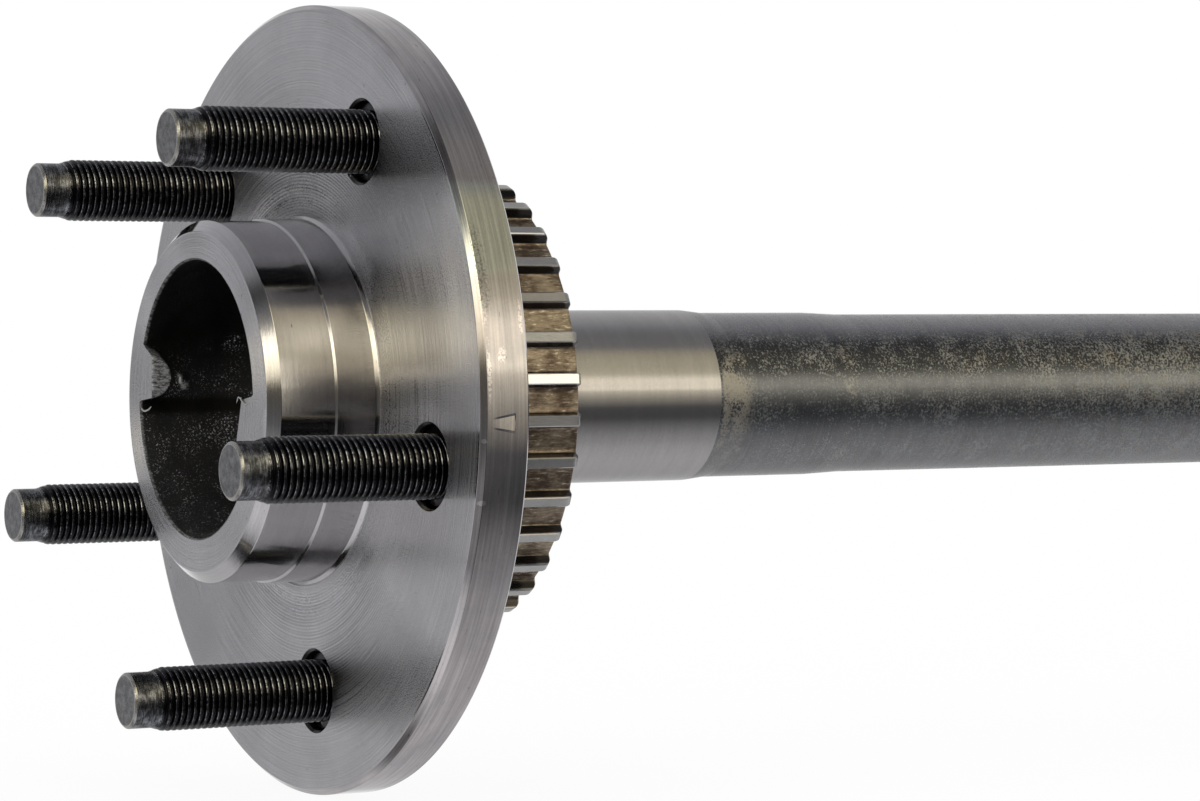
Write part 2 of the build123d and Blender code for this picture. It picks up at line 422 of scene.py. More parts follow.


# Turned steel of the pilot and the rim: fine brushing round the axis and short dark nicks
# along it. The rim has broader lines, a lighter greenish band of painted light, pits,
# dinged and bruised spots brightened partly as painted glints, and a dent.
def barrelSteel():
    look = barrelLook
    material, tree, shader, place = shaftFinish("barrel_steel", 1.0, look["roughness"], 1.0)
    brushed = grooveNoise(tree, place, 0.45, 2.5)
    broad = grain(tree, place["all"], 0.06, 4.0, 0.6)
    speck = grain(tree, place["all"], 2.2, 2.0, 0.6)
    stroke = grooveNoise(tree, place, 0.5, 22.0, 11.0)
    nicks = spread(tree, stroke, 0.70, 0.76, 1.0, 0.45)
    tone = calc(tree, "ADD", spread(tree, brushed, 0.2, 0.8, 0.88, 1.08, soft=False),
                spread(tree, speck, 0.2, 0.8, -0.05, 0.05, soft=False))
    tone = product(tree, tone, nicks, spread(tree, broad, 0.3, 0.7, 0.94, 1.05))
    onRim = spread(tree, place["radius"], *look["onRim"])
    lines = spread(tree, grooveNoise(tree, place, 0.55, 3.5, 19.0), 0.3, 0.7,
                   -look["lineTone"], look["lineTone"], soft=False)
    tone = product(tree, tone, calc(tree, "ADD", 1.0, product(tree, lines, onRim)))
    # A lighter greenish band on the rim: painted light.
    litGreenBand = product(tree, between(tree, place["z"], *look["litGreenBand"]), onRim)
    tone = toned(tree, tone, litGreenBand, look["litGreenTone"])
    pitted = product(tree, between(tree, place["z"], *look["pitBand"]),
                     spread(tree, place["y"], *look["pitReach"]),
                     spread(tree, place["radius"], *look["onRimOnly"]), spread(tree, speck, 0.48, 0.60))
    tone = toned(tree, tone, pitted, look["pitTone"])
    colour = blend(tree, spread(tree, broad, 0.35, 0.65), (*look["violet"], 1.0), (*look["pinkish"], 1.0))
    colour = blend(tree, spread(tree, place["y"], -0.5, 0.5), (*look["pilot"], 1.0), colour)
    # Dinged and bruised spots: wear, brightened partly as painted glints.
    for centre, shape in look["glintDings"]:
        tone = toned(tree, tone, spot(tree, place, centre, shape), look["glintDingTone"])
    for centre, shape in look["glintBruises"]:
        glintBruise = product(tree, spot(tree, place, centre, shape, 0.2), spread(tree, speck, 0.40, 0.52))
        tone = toned(tree, tone, glintBruise, look["glintBruiseTone"])
    litGreened = spread(tree, litGreenBand, 0, 1, 0.0, look["litGreenShare"])
    colour = blend(tree, litGreened, colour, (*look["green"], 1.0))
    feed(tree, shader.inputs["Base Color"], shaded(tree, colour, tone))
    under = relief(tree, dentDepth(tree, place), mm)
    under = relief(tree, stroke, look["strokeDepth"], 1.0, under)
    feed(tree, shader.inputs["Normal"], relief(tree, brushed, look["brushDepth"], 1.0, under))
    return material


groundLook = {
    "colour": (0.485, 0.47, 0.475),
    "roughness": 0.22,
    "brushDepth": 0.0015 * mm,
}


# Ground steel of the bearing journal: finer and brighter, with soft brushing round it.
# Its tone is the sum of broad bands, fine lines and specks.
def groundSteel():
    look = groundLook
    material, tree, shader, place = shaftFinish("ground_steel", 1.0, look["roughness"], 1.0)
    band = grooveNoise(tree, place, 2.4, 0.6, 5.0)
    fine = grooveNoise(tree, place, 0.25, 4.0)
    speck = grain(tree, place["all"], 2.6, 2.0, 0.6)
    tone = calc(tree, "ADD", spread(tree, band, 0.25, 0.75, 0.95, 1.03),
                spread(tree, fine, 0.2, 0.8, -0.04, 0.04, soft=False))
    tone = calc(tree, "ADD", tone, spread(tree, speck, 0.2, 0.8, -0.06, 0.06, soft=False))
    feed(tree, shader.inputs["Base Color"], shaded(tree, look["colour"], tone))
    feed(tree, shader.inputs["Normal"], relief(tree, fine, look["brushDepth"]))
    return material


forgedLook = {
    "scale": (0.150, 0.156, 0.170, 1.0),
    "shade": (0.076, 0.078, 0.087, 1.0),
    "litCrown": (0.32, 0.315, 0.34, 1.0),
    "litBelly": (0.225, 0.223, 0.233, 1.0),
    "fleck": (0.39, 0.405, 0.425, 1.0),
    "rust": (0.34, 0.27, 0.20, 1.0),
    "pale": (0.46, 0.435, 0.40, 1.0),
    "shadeBand": (2.0, 6.0, 9.5, 13.0),          # heights of the dark stripe of painted shade
    "litCrownFrom": (10.5, 14.5),                   # heights over which the lighter top, painted light, begins
    "litBellyUpTo": (-10.0, -5.0, 1.0, 0.0),        # and the lighter underside, painted light, ends
    "paleAlong": (87.0, 87.5, 92.0, 96.0),       # y of the pale patch next to the journal
    "seamAlong": (116.2, 118.4, 118.8, 121.0),   # y of the pale line at the shoulder
}


# Forged shaft: smooth dark scale that still mirrors, with painted shade along its upper
# side and painted light on its top and underside, crisp dull flecks, fine rings and a pale
# worn patch next to the journal.
def forgedScale():
    look = forgedLook
    material, tree, shader, place = shaftFinish("forged_scale", 0.95, 0.3, 0.5)
    patches = grain(tree, place["all"], 0.16, 6.0, 0.7)
    specks = grain(tree, place["all"], 2.1, 5.0, 0.72)
    mottled = calc(tree, "ADD", patches, specks)
    height = calc(tree, "ADD", place["z"], spread(tree, mottled, 0.7, 1.3, -3.0, 3.0, soft=False))
    # Painted shade in a stripe along the upper side; painted light on the top and underside.
    upper = between(tree, height, *look["shadeBand"])
    colour = blend(tree, upper, look["scale"], look["shade"])
    colour = blend(tree, spread(tree, place["z"], *look["litCrownFrom"]), colour, look["litCrown"])
    colour = blend(tree, spread(tree, height, *look["litBellyUpTo"]), colour, look["litBelly"])
    rings = spread(tree, grooveNoise(tree, place, 0.5, 0.5, 2.0), 0.3, 0.7, 0.90, 1.10, soft=False)
    rings = product(tree, rings, spread(tree, patches, 0.3, 0.7, 0.92, 1.08, soft=False))
    colour = shaded(tree, colour, rings)
    flecked = calc(tree, "ADD", specks, product(tree, patches, 0.35))
    flecked = calc(tree, "ADD", flecked, spread(tree, place["y"], 95.0, 205.0, -0.03, 0.03, soft=False))
    flecked = product(tree, spread(tree, flecked, 0.665, 0.80), 0.85)
    colour = blend(tree, flecked, colour, look["fleck"])
    rust = product(tree, spread(tree, grain(tree, place["all"], 0.3, 4.0, 0.7), 0.50, 0.66),
                   spread(tree, place["y"], 110.0, 170.0, 0.2, 0.7))
    colour = blend(tree, product(tree, rust, flecked), colour, look["rust"])
    worn = product(tree, between(tree, place["y"], *look["paleAlong"]),
                   spread(tree, place["z"], 5.0, 12.0, 1.0, 0.12),
                   spread(tree, place["z"], -14.0, -7.0, 0.12, 1.0), spread(tree, mottled, 0.90, 1.05))
    seam = product(tree, between(tree, place["y"], *look["seamAlong"]),
                   spread(tree, mottled, 0.98, 1.16, 0.0, 0.6))
    dull = calc(tree, "MAXIMUM", product(tree, worn, 0.8), seam)
    colour = blend(tree, dull, colour, look["pale"])
    feed(tree, shader.inputs["Base Color"], colour)
    dull = calc(tree, "MAXIMUM", dull, flecked)
    feed(tree, shader.inputs["Roughness"], spread(tree, dull, 0.0, 1.0, 0.26, 0.62, soft=False))
    feed(tree, shader.inputs["Normal"], relief(tree, specks, 0.004 * mm, 0.8))
    return material


recessLook = {
    "shade": (0.0015, 0.0015, 0.0016, 1.0),
    "speck": (0.80, 0.79, 0.78, 1.0),
    "paintedLowLight": (0.016, 0.016, 0.017, 1.0),
    "lug": (0.36, 0.355, 0.35, 1.0),
    "glints": [((-26.6, -13.8, 2.6), 1.8), ((-24.5, -3.2, 11.2), 3.2), ((-25.6, -5.2, -6.6), 4.4)],
}


# Raw forging inside the pilot: black as painted shade where no light gets in, dimly lit
# in its lower half as painted light, with pale specks of scale there and round a few
# painted glints. The attribute marks the small lug with 1, painted lighter as lit, and the
# crest of the fold with 3, painted as a bright glint.
def recessScale():
    look = recessLook
    material, tree, shader, place = shaftFinish("recess_scale", 0.0, 0.5)
    shader.inputs["Specular IOR Level"].default_value = 0.2
    lug = wearAndLightOf(tree)
    broad = grain(tree, place["all"], 0.2, 4.0, 0.6)
    speck = grain(tree, place["all"], 2.4, 4.0, 0.8)
    # A painted shadow line across the lower half, and the lower half lighter as painted light.
    shadow = spread(tree, calc(tree, "ABSOLUTE", calc(tree, "ADD", place["z"], 1.6)), 0.8, 2.6)
    low = product(tree, spread(tree, place["z"], -3.0, 14.0, 1.0, 0.0), shadow)
    lit = product(tree, low, spread(tree, broad, 0.42, 0.60, 0.12, 1.0))
    # Painted glints: specks shown bright round a few spots.
    for centre, reach in look["glints"]:
        apart = reachOf(tree, vectorCalc(tree, "SUBTRACT", place["all"], centre))
        lit = calc(tree, "ADD", lit, spread(tree, apart, 0.0, reach, 2.6, 0.0))
    share = product(tree, spread(tree, speck, 0.56, 0.67), lit)
    colour = blend(tree, share, blend(tree, low, look["shade"], look["paintedLowLight"]), look["speck"])
    scratched = vectorCalc(tree, "MULTIPLY", place["all"], (1.0, 1.0, 3.0))
    scratched = grain(tree, scratched, 0.8, 3.0, 0.7)
    # The lug's face is painted lighter as lit, and the fold's crest is painted as a glint.
    onLug = product(tree, lug, spread(tree, scratched, 0.38, 0.64, 0.12, 1.3))
    colour = blend(tree, onLug, colour, look["lug"])
    colour = blend(tree, spread(tree, lug, 1.5, 2.5), colour, look["speck"])
    feed(tree, shader.inputs["Base Color"], colour)
    feed(tree, shader.inputs["Normal"], relief(tree, calc(tree, "ADD", broad, speck), 0.3 * mm, 0.8))
    return material


holeLook = {
    "black": (0.010, 0.010, 0.011, 1.0),
    "spark": (0.35, 0.34, 0.33, 1.0),
    "metallic": 0.6,
    "roughness": 0.22,
    "relief": 0.08 * mm,
}


# Glossy black inside the stud holes, with a few pale sparks.
def holeBlack():
    look = holeLook
    material, tree, shader, place = shaftFinish("hole_black", look["metallic"], look["roughness"])
    speck = grain(tree, place["all"], 1.5, 3.0, 0.6)
    sparked = spread(tree, speck, 0.62, 0.78)
    feed(tree, shader.inputs["Base Color"], blend(tree, sparked, look["black"], look["spark"]))
    feed(tree, shader.inputs["Normal"], relief(tree, speck, look["relief"], 0.8))
    return material


studLook = {
    "coat": (0.014, 0.014, 0.017, 1.0),
    "crest": (0.72, 0.73, 0.78, 1.0),
    "dog": (0.050, 0.050, 0.053, 1.0),
    "dogWorn": (0.26, 0.268, 0.30, 1.0),
    "tip": (0.095, 0.094, 0.099, 1.0),
    "tipWorn": (0.215, 0.213, 0.219, 1.0),
    "edge": (0.38, 0.37, 0.355, 1.0),
}


# Glossy black stud steel. The attribute is 0 in the thread, 1 on its rubbed crests,
# lighter on one side as painted highlight, 2 on the bare dog point, 3 on its flat tip and
# 4 on the edge of the tip.
def studBlack():
    look = studLook
    material, tree, shader, place = shaftFinish("stud_black", 0.95, 0.2)
    worn = wearAndLightOf(tree)
    speck = grain(tree, place["all"], 1.6, 4.0, 0.7)
    streak = grain(tree, place["all"], 0.55, 4.0, 0.65)
    crest = product(tree, spread(tree, worn, 0.2, 1.0, soft=False),
                    spread(tree, speck, 0.40, 0.56, 0.10, 1.0),
                    spread(tree, streak, 0.40, 0.56, 0.25, 1.0))
    coated = blend(tree, crest, look["coat"], look["crest"])
    drawn = vectorCalc(tree, "MULTIPLY", place["all"], (0.5, 4.0, 0.5))
    turned = grain(tree, drawn, 1.0, 3.0, 0.6)
    dog = spread(tree, calc(tree, "ADD", streak, turned), 0.86, 1.26)
    dog = blend(tree, dog, look["dog"], look["dogWorn"])
    tip = blend(tree, spread(tree, streak, 0.35, 0.68), look["tip"], look["tipWorn"])
    bare = blend(tree, spread(tree, worn, 2.4, 2.6), dog, tip)
    edge = product(tree, spread(tree, worn, 3.4, 3.7), spread(tree, speck, 0.28, 0.48))
    bare = blend(tree, edge, bare, look["edge"])
    point = spread(tree, worn, 1.4, 1.6)
    feed(tree, shader.inputs["Base Color"], blend(tree, point, coated, bare))
    scuffed = product(tree, crest, calc(tree, "SUBTRACT", 1.0, point))
    feed(tree, shader.inputs["Metallic"], spread(tree, scuffed, 0.2, 1.0, 0.95, 0.5))
    feed(tree, shader.inputs["Roughness"], calc(tree, "ADD", spread(tree, speck, 0.3, 0.7, 0.11, 0.22),
                                                product(tree, point, 0.10)))
    feed(tree, shader.inputs["Normal"], relief(tree, speck, 0.045 * mm, 0.8))
    return material


ringLook = {
    "shade": (0.34, 0.335, 0.335, 1.0),
    "bare": (0.66, 0.65, 0.65, 1.0),
    "flank": (0.050, 0.045, 0.042, 1.0),
    "brown": (0.115, 0.082, 0.060, 1.0),
    "tan": (0.42, 0.345, 0.265, 1.0),
    "fleck": (0.82, 0.74, 0.60, 1.0),
    "rubbedAndLit": (0.95, 0.94, 0.92, 1.0),
    "litTooth": [(45.3, 30.0, 5.0), (3.0, 22.0, 1.9)],     # one tooth painted bright: a painted highlight
    "floorUpTo": (43.25, 43.55, 1.0, 0.0),                 # radius at which the floor ends
    "topFrom": (45.0, 45.45),                              # and the tooth tops begin
    "rearFrom": (38.6, 38.9),                              # y at which the rear begins
}


# Bare ring steel: grey tooth tops, flanks darkened as painted shade, one tooth painted
# bright as a highlight, and brown tarnish with pale flecks and fine streaks along the
# floors of the gaps.
def ringSteel():
    look = ringLook
    material, tree, shader, place = shaftFinish("ring_steel", 0.9, 0.36, 0.5)
    drawn = vectorCalc(tree, "MULTIPLY", place["all"], (1.0, 0.22, 1.0))
    streak = grain(tree, drawn, 2.0, 4.0, 0.7)
    patch = grain(tree, place["all"], 0.16, 4.0, 0.6)
    floor = spread(tree, place["radius"], *look["floorUpTo"])
    top = spread(tree, place["radius"], *look["topFrom"])
    bare = calc(tree, "ADD", product(tree, streak, 0.5), product(tree, patch, 0.5))
    bare = blend(tree, bare, look["shade"], look["bare"])
    # One tooth painted bright: painted highlight.
    bare = blend(tree, spot(tree, place, *look["litTooth"]), bare, look["rubbedAndLit"])
    brown = spread(tree, calc(tree, "ADD", streak, patch), 0.75, 1.25)
    brown = blend(tree, brown, look["brown"], look["tan"])
    brown = blend(tree, spread(tree, streak, 0.58, 0.70), brown, look["fleck"])
    # The flanks take a dark colour as painted shade between the teeth.
    colour = blend(tree, top, look["flank"], bare)
    behind = spread(tree, place["y"], *look["rearFrom"])
    colour = blend(tree, behind, colour, bare)
    feed(tree, shader.inputs["Base Color"], blend(tree, floor, colour, brown))
    feed(tree, shader.inputs["Roughness"], spread(tree, floor, 0.0, 1.0, 0.17, 0.46))
    feed(tree, shader.inputs["Normal"], relief(tree, streak, 0.02 * mm, 0.8))
    return material


axleFinishes = [facedSteel(), barrelSteel(), groundSteel(), forgedScale(), recessScale(), holeBlack()]
faced, barrel, ground, forged, rough, black = range(6)
blackStud = studBlack()
steelRing = ringSteel()
print("finishes ready")

studs = {
    "count": 5,
    "circleRadius": 57.15,
    "firstAngle": math.radians(-10.7),
    "length": 40.0,
    "pitch": 1.27,
    "crestRadius": 6.17,
    "threadDepth": 0.68,
    "dogRadius": 5.4,
    "tipChamfer": 0.42,
    "dogEnd": -34.9,
    "leadEnd": -32.4,
    "setback": 1.6,
    "knurlRadius": 7.8,
    "knurlDepth": 0.14,
    "knurlChamfer": 0.35,
    "knurlEnd": 9.55,
    "headBore": 7.75,
    "headRadius": 10.8,
    "headFront": 9.72,
    "headRear": 13.9,
    "columns": 48,
    "rowsPerPitch": 20,
    "litSideAngle": math.radians(26),            # the side on which the crests are painted lightest: painted highlight
    "litSideReach": math.radians(32),
    "rubSpan": (0.80, 0.86, 0.89, 0.94),     # shares of a pitch where the crests are rubbed
    "rearSpan": (0.00, 0.05, 0.09, 0.14),
}

flange = {
    "radius": 77.6,
    "thickness": 9.7,
    "frontChamfer": 1.0,
    "rearChamfer": 0.4,
    "columns": 310,          # a multiple of the 5 studs and of the 31 splines
    "faceInside": 45.5,      # the flat ring of both faces that holds the stud holes
    "faceOutside": 76.2,
    "mouthRadius": 8.3,
    "holeRadius": 7.82,
}


# The angles of the shared columns: evenly spaced about the shaft.
evenAngles = np.arange(flange["columns"]) * 2 * math.pi / flange["columns"]
evenAngles = evenAngles + studs["firstAngle"] - math.pi / studs["count"]


# The centre of a stud as a flat point on the bolt circle.
def studCentre(index):
    angle = studs["firstAngle"] + index * 2 * math.pi / studs["count"]
    return flatPoints(studs["circleRadius"], angle)


# One fifth of a flange face, as rows from the edge of the hole to the edge of the fifth.
# Each boundary point has its own hole point, in line with the hole's centre.
def faceFifth(index, along, holeRadius):
    perStud = flange["columns"] // studs["count"]
    angles = evenAngles[0] + (index * perStud + np.arange(perStud + 1)) * 2 * math.pi / flange["columns"]
    steps = np.linspace(flange["faceInside"], flange["faceOutside"], 25)
    outer = flatPoints(flange["faceOutside"], angles)
    inner = flatPoints(flange["faceInside"], angles)
    left, right = flatPoints(steps, angles[0]), flatPoints(steps, angles[-1])
    edge = np.concatenate([inner[::-1][:-1], left[:-1], outer[:-1], right[::-1][:-1]])
    centre = studCentre(index)
    away = edge - centre
    direction = away / np.linalg.norm(away, axis=1, keepdims=True)
    flat = ruledSurface(centre + holeRadius * direction, edge, [0, 0.012, 0.12, 0.5, 1])
    return lifted(flat, along), centre, direction


# The bore of one stud hole, from its bevelled mouth to the back of the flange.
def holeBore(centre, direction, startRadius):
    outline = softOutline([
        (startRadius, 0, 0),
        (flange["mouthRadius"], 0.04, 0.0),
        (flange["holeRadius"], flange["mouthRadius"] - flange["holeRadius"], 0.12),
        (flange["holeRadius"], flange["thickness"], 0),
    ], arcSteps=3)
    return lifted(centre + outline[:, :1, None] * direction[None], outline[:, 1:])


pilot = {
    "noseY": -22.2,
    "edgeRadius": 32.8,      # where the flat nose meets the turned edge
    "noseRadius": 33.15,
    "radius": 35.25,
    "chamferEnd": -20.1,
    "registerY": -8.6,
    "registerRadius": 35.65,
    "stepRadius": 36.2,      # where the register meets the flange face
}

recess = {
    "centre": (-0.45, 0.5),
    "radius": 27.1,
    "depth": 24.0,
    "draft": math.radians(4),
    "floorRounding": 8.0,
    "edgeRounding": 0.35,
    "spokeRadius": 28.3,
    "lugFace": 20.8,         # distance from the recess centre to a lug's face
    "narrowLug": {"angle": math.radians(180), "middle": 3.75, "halfWidth": 4.35, "edge": 0.7},
    "wideLug": {"angle": math.radians(-16.5), "middle": 0.0, "halfWidth": 7.0, "edge": 0.8},
    "coneRadius": 4.0,
    "coneAngle": math.radians(30),
    "fold": {"angle": math.radians(174), "depth": 8.3, "lean": 8.0, "width": 0.55,
             "reach": 0.07, "height": 0.7},
}


# Eases from 0 to 1 as the value passes from low to high.
def ease(value, low=0.0, high=1.0):
    share = np.clip((value - low) / (high - low), 0, 1)
    return share * share * (3 - 2 * share)


# Eases from 0 to 1 between start and full, and back to 0 between fade and end.
def easeBetween(value, start, full, fade, end):
    return ease(value, start, full) * (1 - ease(value, fade, end))


# The signed difference of two angles, from -pi to pi.
def turnFrom(start, angles):
    return np.arctan2(np.sin(angles - start), np.cos(angles - start))


# How far a lug is present at an angle and depth: inside a half disc that hangs from the
# mouth, measured on the lug's flat face, with a soft edge.
def lugShare(lug, angles, depth):
    turn = turnFrom(lug["angle"], angles)
    side = np.where(np.abs(turn) < 1.2, recess["lugFace"] * np.tan(np.clip(turn, -1.2, 1.2)), 99.0)
    if lug["angle"] > 3:      # on the far side of the bowl, up is where the angle falls
        side = -side
    distance = np.hypot(side - lug["middle"], depth)
    faceRadius = recess["lugFace"] / np.cos(np.clip(turn, -1.2, 1.2))
    return ease((lug["halfWidth"] - distance) / lug["edge"] + 0.5), faceRadius


# Column angles of the recess, closer together where the lugs are: evenly spaced along
# the running sum of a density.
def recessAngles():
    fine = np.linspace(evenAngles[0], evenAngles[0] + 2 * math.pi, 4001)
    degrees = np.degrees(fine) % 360
    density = 1 + 1.8 * ((degrees > 154) & (degrees < 188)) + 1.0 * ((degrees > 320) | (degrees < 6))
    travelled = np.concatenate([[0], np.cumsum((density[1:] + density[:-1]) / 2)])
    wanted = np.arange(flange["columns"]) / flange["columns"] * travelled[-1]
    return np.interp(wanted, travelled, fine)


# The recess as rows of (radius, depth) swept round its own centre. The wall is drafted,
# both lugs push it inwards, and slow waves keep the raw forging a little uneven.
def recessSurface():
    angles = recessAngles()
    edge = recess["edgeRounding"]
    turn = np.linspace(0, math.pi / 2, 5)
    mouth = np.stack([edge * (1 - np.sin(turn)), edge * (1 - np.cos(turn))], axis=1)
    wallDepth = np.concatenate([np.arange(0.6, 8.2, 0.34), np.linspace(8.8, 16.5, 6)])
    floorTurn = np.linspace(0, math.pi / 2, 9)[1:]
    wallRadius = recess["radius"] - wallDepth * math.tan(recess["draft"])
    floorStart = recess["depth"] - recess["floorRounding"]
    startRadius = recess["radius"] - floorStart * math.tan(recess["draft"])
    bendRadius = startRadius - recess["floorRounding"] * (1 - np.cos(floorTurn))
    bendDepth = floorStart + recess["floorRounding"] * np.sin(floorTurn)
    radius = np.concatenate([recess["radius"] + mouth[:, 0], wallRadius, bendRadius[2:]])
    depth = np.concatenate([mouth[:, 1], wallDepth, bendDepth[2:]])
    radius = radius[:, None] + 0 * angles
    deep = depth[:, None]
    uneven = (0.16 * np.sin(3 * angles + 0.21 * deep + 1.0) + 0.10 * np.sin(7 * angles - 0.5 * deep)
              + 0.06 * np.sin(17 * angles + 0.9 * deep + 2.0))
    radius = radius + uneven * ease(deep, 0.3, 4.0)
    fold = recess["fold"]
    fromFold = turnFrom(fold["angle"], angles)
    ridge = np.exp(-((deep - fold["depth"] - fold["lean"] * fromFold) / fold["width"]) ** 2
                   - (fromFold / fold["reach"]) ** 2)
    radius = radius - fold["height"] * ridge
    offset = np.interp(deep, mouth[:, 1], mouth[:, 0])
    for lug in (recess["wideLug"], recess["narrowLug"]):
        onLug, faceRadius = lugShare(lug, angles, deep)
        radius = radius - onLug * np.maximum(radius - faceRadius - offset, 0)
    points = lifted(flatPoints(radius, angles) + recess["centre"], pilot["noseY"] + deep)
    floorY = pilot["noseY"] + recess["depth"]
    coneDepth = recess["coneRadius"] / math.tan(recess["coneAngle"])
    inside = turnedSurface(np.array([
        [recess["coneRadius"] + 0.3, floorY],
        [recess["coneRadius"], floorY + 0.15],
        [0.0, floorY + coneDepth],
    ]), angles)
    floor = ruledSurface(points[-1], inside[0], np.linspace(0, 1, 4))[1:-1]
    plain = np.zeros((len(floor) + len(inside), len(angles)))
    # pale marks the lug's face, painted lighter as lit, and the fold's crest, a painted glint
    pale = np.maximum(onLug, 3.0 * ease(ridge, 0.3, 0.9))      # the last lug, the narrow one
    pale = np.maximum(pale, 0.35 * (deep < edge + 0.01))
    return np.concatenate([points, floor, inside]), np.concatenate([pale, plain])


# The flat nose between the turned edge and the mouth of the recess. Straight spokes run
# from the mouth to a circle about the recess centre, and from there the spokes turn
# gently, in radius and angle, to the even columns of the turned edge.
def noseFace(edgeRadius, mouth):
    centre = np.array(recess["centre"])
    away = mouth[:, [0, 2]] - centre
    spokes = away / np.linalg.norm(away, axis=1, keepdims=True)
    circle = centre + recess["spokeRadius"] * spokes
    flat = ruledSurface(mouth[:, [0, 2]], circle, [0, 0.03, 0.4])
    radius = np.hypot(circle[:, 0], circle[:, 1])
    angle = np.unwrap(np.arctan2(circle[:, 1], circle[:, 0]))
    angle = angle - 2 * math.pi * np.round((angle[0] - evenAngles[0]) / (2 * math.pi))
    share = np.linspace(0, 1, 5)[:, None]
    radius = radius * (1 - share) + edgeRadius * share
    angle = angle * (1 - share) + evenAngles * share
    return lifted(np.concatenate([flat, flatPoints(radius, angle)]), pilot["noseY"])


burrs = {
    "crescent": [(-26.9, -22.25, -0.9), (-26.5, -22.4, -1.8), (-25.6, -22.45, -2.4),
                 (-24.2, -22.4, -2.55), (-22.9, -22.3, -2.25), (-21.8, -22.2, -1.5)],
    "hook": [(19.5, -22.25, 0.25), (20.7, -22.35, 1.5), (21.9, -22.4, 1.35), (22.7, -22.35, 0.6),
             (23.8, -22.25, 0.2), (25.2, -22.2, 0.5)],
    "thickness": 0.24,
}


# A thread of torn metal at the mouth of the recess: circles set square to a bent line,
# with a radius of thickness * sqrt(sin(pi * share)), so that both its tips are closed.
def burrSurface(line):
    columns = 8
    line = np.array(line, float)
    length = np.concatenate([[0], np.cumsum(np.linalg.norm(np.diff(line, axis=0), axis=1))])
    share = np.linspace(0, 1, 23)
    path = np.stack([np.interp(share * length[-1], length, line[:, axis]) for axis in range(3)], axis=1)
    path[1:-1] = (path[:-2] + 2 * path[1:-1] + path[2:]) / 4
    heading = np.gradient(path, axis=0)
    side = np.cross(heading, [0.0, 1.0, 0.0])
    side = side / np.linalg.norm(side, axis=1, keepdims=True)
    turn = np.arange(columns) * 2 * math.pi / columns
    size = burrs["thickness"] * np.sqrt(np.abs(np.sin(math.pi * share)))[:, None, None]
    circles = side[:, None] * np.cos(turn)[:, None] + np.array([0.0, 1.0, 0.0]) * np.sin(turn)[:, None]
    return path[:, None] + size * circles


shaft = {
    "neckRadius": 40.0,
    "seatRadius": 36.98,
    "ringFront": 20.5,
    "seatEnd": 38.4,
    "webRadius": 30.0,
    "webEnd": 45.9,
    "journalStart": 50.9,
    "journalRadius": 17.68,
    "journalEnd": 86.6,
    "taperEnd": 91.6,
    "shoulderRadius": 17.09,
    "shoulderEnd": 116.5,
    "forgedStart": 125.0,
    "radius": 16.7,
    "splineStart": 670.1,
    "splineEnd": 716.1,
    "majorRadius": 16.6,
    "minorRadius": 15.55,
    "floorHalf": 0.525,
    "flankAngle": math.radians(37.5),
    "runout": 7.0,
    "splineChamfer": 0.35,
    "grooveRadius": 12.7,
    "grooveEnd": 721.0,
    "buttonRadius": 15.2,
    "buttonChamfer": 1.2,
    "end": 728.0,
    "splines": 31,
}


# The splined stretch. Ten columns cross each spline: three on the gap's floor, two on
# its flanks, two at its edges and three on the land. The radius is the major one less
# the depth of the gap, which falls to 0 over the run-out.
def splineSurface():
    start, end, chamfer = shaft["splineStart"], shaft["splineEnd"], shaft["splineChamfer"]
    major, floorHalf = shaft["majorRadius"], shaft["floorHalf"]
    fullDepth, flank = major - shaft["minorRadius"], math.tan(shaft["flankAngle"])
    edgeHalf = floorHalf + fullDepth * flank
    midHalf = (floorHalf + edgeHalf) / 2
    landHalf = math.pi * major / shaft["splines"]
    half = (edgeHalf + landHalf) / 2
    side = np.array([-edgeHalf, -midHalf, -floorHalf, 0, floorHalf, midHalf, edgeHalf, half,
                     landHalf, 2 * landHalf - half])
    number = np.repeat(np.arange(shaft["splines"]), len(side))
    side = np.tile(side, shaft["splines"])
    depthAt = np.clip((edgeHalf - np.abs(side)) / flank, 0, fullDepth)
    angles = evenAngles[0] + number * 2 * math.pi / shaft["splines"] + (edgeHalf + side) / major
    along = np.concatenate([
        start + np.array([0.05, 0.6]),
        start + np.linspace(1.2, shaft["runout"], 8),
        np.linspace(start + 12, end - 0.6, 5),
        [end - chamfer, end],
    ])[:, None]
    deepest = fullDepth * np.clip((along - start) / shaft["runout"], 0, 1)
    tip = major - chamfer * np.clip((along - end + chamfer) / chamfer, 0, 1)
    radius = np.minimum(major - np.minimum(depthAt, deepest), tip)
    return lifted(flatPoints(radius, angles), along)


# A turned stretch of the axle, as a grid with its finish.
def stretch(finish, corners):
    return turnedSurface(softOutline(corners, arcSteps=3), evenAngles), finish


